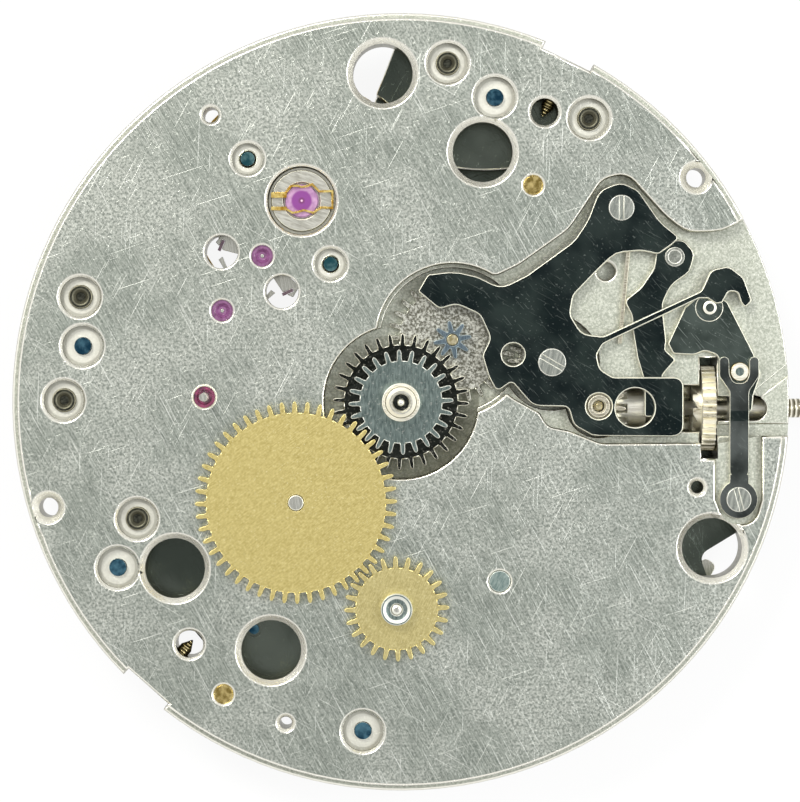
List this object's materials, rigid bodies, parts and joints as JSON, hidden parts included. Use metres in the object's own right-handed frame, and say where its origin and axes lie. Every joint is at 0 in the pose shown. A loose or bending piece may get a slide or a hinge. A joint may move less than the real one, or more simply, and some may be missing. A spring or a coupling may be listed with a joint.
{
  "type": "watch movement",
  "caption": "Hand-wound watch movement with open keyless works, hour train to a small hand at six, small seconds at nine, lever escapement and bridges on the back.",
  "frame": {"origin": "the movement's centre on the dial face", "axes": "+Z out of the dial side, +X out along the winding stem (three), +Y to twelve"},
  "size_m": [0.0398, 0.0366, 0.0064],
  "materials": {
    "plated_brass": "silver-grey plated brass, straight brushed",
    "black_polished_steel": "black polished steel",
    "steel": "turned and polished steel",
    "bright_steel": "bright polished steel",
    "wheel_brass": "brass, straight grained",
    "gilt_brass": "gilt",
    "blued_steel": "heat-blued",
    "turquoise_steel": "heat-tinted pale blue",
    "spring_steel": "blued spring steel",
    "ruby": "polished synthetic ruby",
    "purple_jewel": "polished synthetic ruby, violet sheen",
    "stone": "polished pale pink stone"
  },
  "bodies": {
    "frame": {"main_plate": "plated_brass", "plate_jewels": "ruby", "bridge_steady_pins": "steel", "dial_foot_screws": "bright_steel", "plate_plugs": "gilt_brass", "wheel_posts": "steel", "setting_lever_jumper": "black_polished_steel", "jumper_screws": "bright_steel", "setting_lever_spring": "black_polished_steel", "fork_spring_screw": "bright_steel", "yoke_pin": "steel", "yoke_spring": "bright_steel", "idler_post": "bright_steel", "small_hour_post": "bright_steel", "lower_shock_block": "bright_steel", "lower_cap_jewel": "purple_jewel", "lower_shock_spring": "gilt_brass", "barrel_bridge": "plated_brass", "train_bridge": "plated_brass", "balance_cock": "plated_brass", "pallet_bridge": "plated_brass", "bridge_screws": "blued_steel", "pallet_bridge_screws": "turquoise_steel", "bridge_jewels": "ruby", "crown_wheel_core": "blued_steel", "click": "steel", "click_screw": "blued_steel", "hairspring_stud": "bright_steel", "upper_shock_setting": "bright_steel"},
    "winding_pinion": {"winding_pinion": "gilt_brass"},
    "winding_stem": {"winding_stem": "bright_steel"},
    "sliding_pinion": {"sliding_pinion": "steel"},
    "setting_wheel": {"setting_wheel": "steel"},
    "intermediate_wheel": {"intermediate_setting_wheel": "steel"},
    "minute_wheel": {"minute_wheel": "steel"},
    "cannon_pinion": {"cannon_pinion": "steel"},
    "hour_wheel": {"hour_wheel": "steel"},
    "hour_idler": {"hour_idler_wheel": "wheel_brass"},
    "small_hour": {"small_hour_wheel": "wheel_brass", "small_hour_tube": "steel"},
    "crown_wheel": {"crown_wheel": "steel"},
    "ratchet": {"ratchet_wheel": "steel", "ratchet_screw": "blued_steel", "barrel_arbor": "steel"},
    "lever_axle": {"setting_lever_axle": "gilt_brass"},
    "setting_lever": {"setting_lever": "black_polished_steel"},
    "yoke": {"yoke": "black_polished_steel"},
    "barrel": {"barrel_drum": "wheel_brass", "barrel_cover": "wheel_brass", "mainspring": "spring_steel"},
    "centre_wheel": {"centre_wheel": "wheel_brass"},
    "third_wheel": {"third_wheel": "wheel_brass"},
    "fourth_wheel": {"fourth_wheel": "wheel_brass"},
    "escape_wheel": {"escape_wheel": "steel"},
    "pallet_fork": {"pallet_fork": "steel", "pallet_stones": "stone"},
    "balance": {"balance_wheel": "gilt_brass", "balance_staff": "steel", "hairspring": "spring_steel"},
    "regulator": {"regulator": "steel"}
  },
  "joints": [
    {"name": "crown_turn", "type": "hinge", "parent": "frame", "child": "winding_pinion", "pos_m": [0.0145, -0.00032, -0.00215], "axis": [1, 0, 0], "continuous": true},
    {"name": "stem_pull", "type": "slide", "parent": "winding_pinion", "child": "winding_stem", "axis": [1, 0, 0], "range_m": [-0.0006, 0], "deforming": ["setting_lever_jumper", "yoke_spring"]},
    {"name": "clutch_slide", "type": "slide", "parent": "winding_pinion", "child": "sliding_pinion", "axis": [1, 0, 0], "range_m": [0, 0.00065]},
    {"name": "setting_wheel_spin", "type": "hinge", "parent": "frame", "child": "setting_wheel", "pos_m": [0.0093, -0.0002, -0.0012], "axis": [0, 0, 1], "continuous": true},
    {"name": "intermediate_wheel_spin", "type": "hinge", "parent": "frame", "child": "intermediate_wheel", "pos_m": [0.00709, 0.00186, -0.0011], "axis": [0, 0, 1], "continuous": true},
    {"name": "minute_wheel_spin", "type": "hinge", "parent": "frame", "child": "minute_wheel", "pos_m": [0.00242, 0.00292, -0.0011], "axis": [0, 0, 1], "continuous": true},
    {"name": "cannon_pinion_spin", "type": "hinge", "parent": "frame", "child": "cannon_pinion", "pos_m": [0, 0, 0], "axis": [0, 0, 1], "continuous": true},
    {"name": "hour_wheel_spin", "type": "hinge", "parent": "frame", "child": "hour_wheel", "pos_m": [0, 0, 0], "axis": [0, 0, 1], "continuous": true},
    {"name": "hour_idler_spin", "type": "hinge", "parent": "frame", "child": "hour_idler", "pos_m": [-0.00492, -0.00471, 0.0002], "axis": [0, 0, 1], "continuous": true},
    {"name": "small_hour_spin", "type": "hinge", "parent": "frame", "child": "small_hour", "pos_m": [-0.0002, -0.00968, 0.0002], "axis": [0, 0, 1], "continuous": true},
    {"name": "crown_wheel_spin", "type": "hinge", "parent": "frame", "child": "crown_wheel", "pos_m": [0.01013, -0.00032, -0.0042], "axis": [0, 0, 1], "continuous": true},
    {"name": "ratchet_spin", "type": "hinge", "parent": "frame", "child": "ratchet", "pos_m": [0.00463, -0.00842, -0.0042], "axis": [0, 0, 1], "continuous": true, "deforming": ["click"]},
    {"name": "release_press", "type": "slide", "parent": "frame", "child": "lever_axle", "axis": [0, 0, 1], "range_m": [0, 0.0002], "stiffness_N_per_m": 500, "deforming": ["setting_lever_spring"]},
    {"name": "setting_lever_swing", "type": "hinge", "parent": "lever_axle", "child": "setting_lever", "pos_m": [0.01592, 0.00142, -0.0006], "axis": [0, 0, 1], "range_deg": [-19.6, 0.5]},
    {"name": "yoke_swing", "type": "hinge", "parent": "frame", "child": "yoke", "pos_m": [0.01287, 0.00682, -0.0006], "axis": [0, 0, 1], "range_deg": [-0.5, 5.3]},
    {"name": "fourth_wheel_spin", "type": "hinge", "parent": "frame", "child": "fourth_wheel", "pos_m": [-0.00923, 0.00023, -0.0027], "axis": [0, 0, 1], "continuous": true},
    {"name": "third_wheel_spin", "type": "hinge", "parent": "frame", "child": "third_wheel", "pos_m": [-0.00535, -0.00237, -0.0036], "axis": [0, 0, 1], "continuous": true},
    {"name": "centre_wheel_spin", "type": "hinge", "parent": "frame", "child": "centre_wheel", "pos_m": [0, 0, -0.0033], "axis": [0, 0, 1], "continuous": true},
    {"name": "barrel_spin", "type": "hinge", "parent": "frame", "child": "barrel", "pos_m": [0.00463, -0.00842, -0.0024], "axis": [0, 0, 1], "continuous": true, "deforming": ["mainspring"]},
    {"name": "escape_wheel_spin", "type": "hinge", "parent": "frame", "child": "escape_wheel", "pos_m": [-0.0084, 0.00429, -0.0018], "axis": [0, 0, 1], "continuous": true},
    {"name": "pallet_swing", "type": "hinge", "parent": "frame", "child": "pallet_fork", "pos_m": [-0.00652, 0.00686, -0.0018], "axis": [0, 0, 1], "range_deg": [-5, 5]},
    {"name": "balance_swing", "type": "hinge", "parent": "frame", "child": "balance", "pos_m": [-0.00467, 0.00946, -0.0028], "axis": [0, 0, 1], "range_deg": [-270, 270], "deforming": ["hairspring"]},
    {"name": "regulator_turn", "type": "hinge", "parent": "frame", "child": "regulator", "pos_m": [-0.00467, 0.00946, -0.0035], "axis": [0, 0, 1], "range_deg": [-12, 12]}
  ],
  "couplings": [
    {"joint": "clutch_slide", "follows": "stem_pull", "ratio": -1.0833},
    {"joint": "setting_lever_swing", "follows": "stem_pull", "rad_per_m": 568.98},
    {"joint": "yoke_swing", "follows": "stem_pull", "rad_per_m": -151.26},
    {"joint": "setting_wheel_spin", "follows": "crown_turn", "ratio": -0.75},
    {"joint": "intermediate_wheel_spin", "follows": "crown_turn", "ratio": 0.45},
    {"joint": "minute_wheel_spin", "follows": "crown_turn", "ratio": -0.3},
    {"joint": "cannon_pinion_spin", "follows": "crown_turn", "ratio": 0.9},
    {"joint": "hour_wheel_spin", "follows": "crown_turn", "ratio": 0.075},
    {"joint": "hour_idler_spin", "follows": "crown_turn", "ratio": -0.0375},
    {"joint": "small_hour_spin", "follows": "crown_turn", "ratio": 0.075},
    {"joint": "crown_wheel_spin", "follows": "crown_turn", "ratio": 0.44737},
    {"joint": "ratchet_spin", "follows": "crown_turn", "ratio": -0.35052},
    {"joint": "third_wheel_spin", "follows": "fourth_wheel_spin", "ratio": -0.13333},
    {"joint": "centre_wheel_spin", "follows": "fourth_wheel_spin", "ratio": 0.016667},
    {"joint": "barrel_spin", "follows": "fourth_wheel_spin", "ratio": -0.0038889},
    {"joint": "escape_wheel_spin", "follows": "fourth_wheel_spin", "ratio": -10}
  ]
}
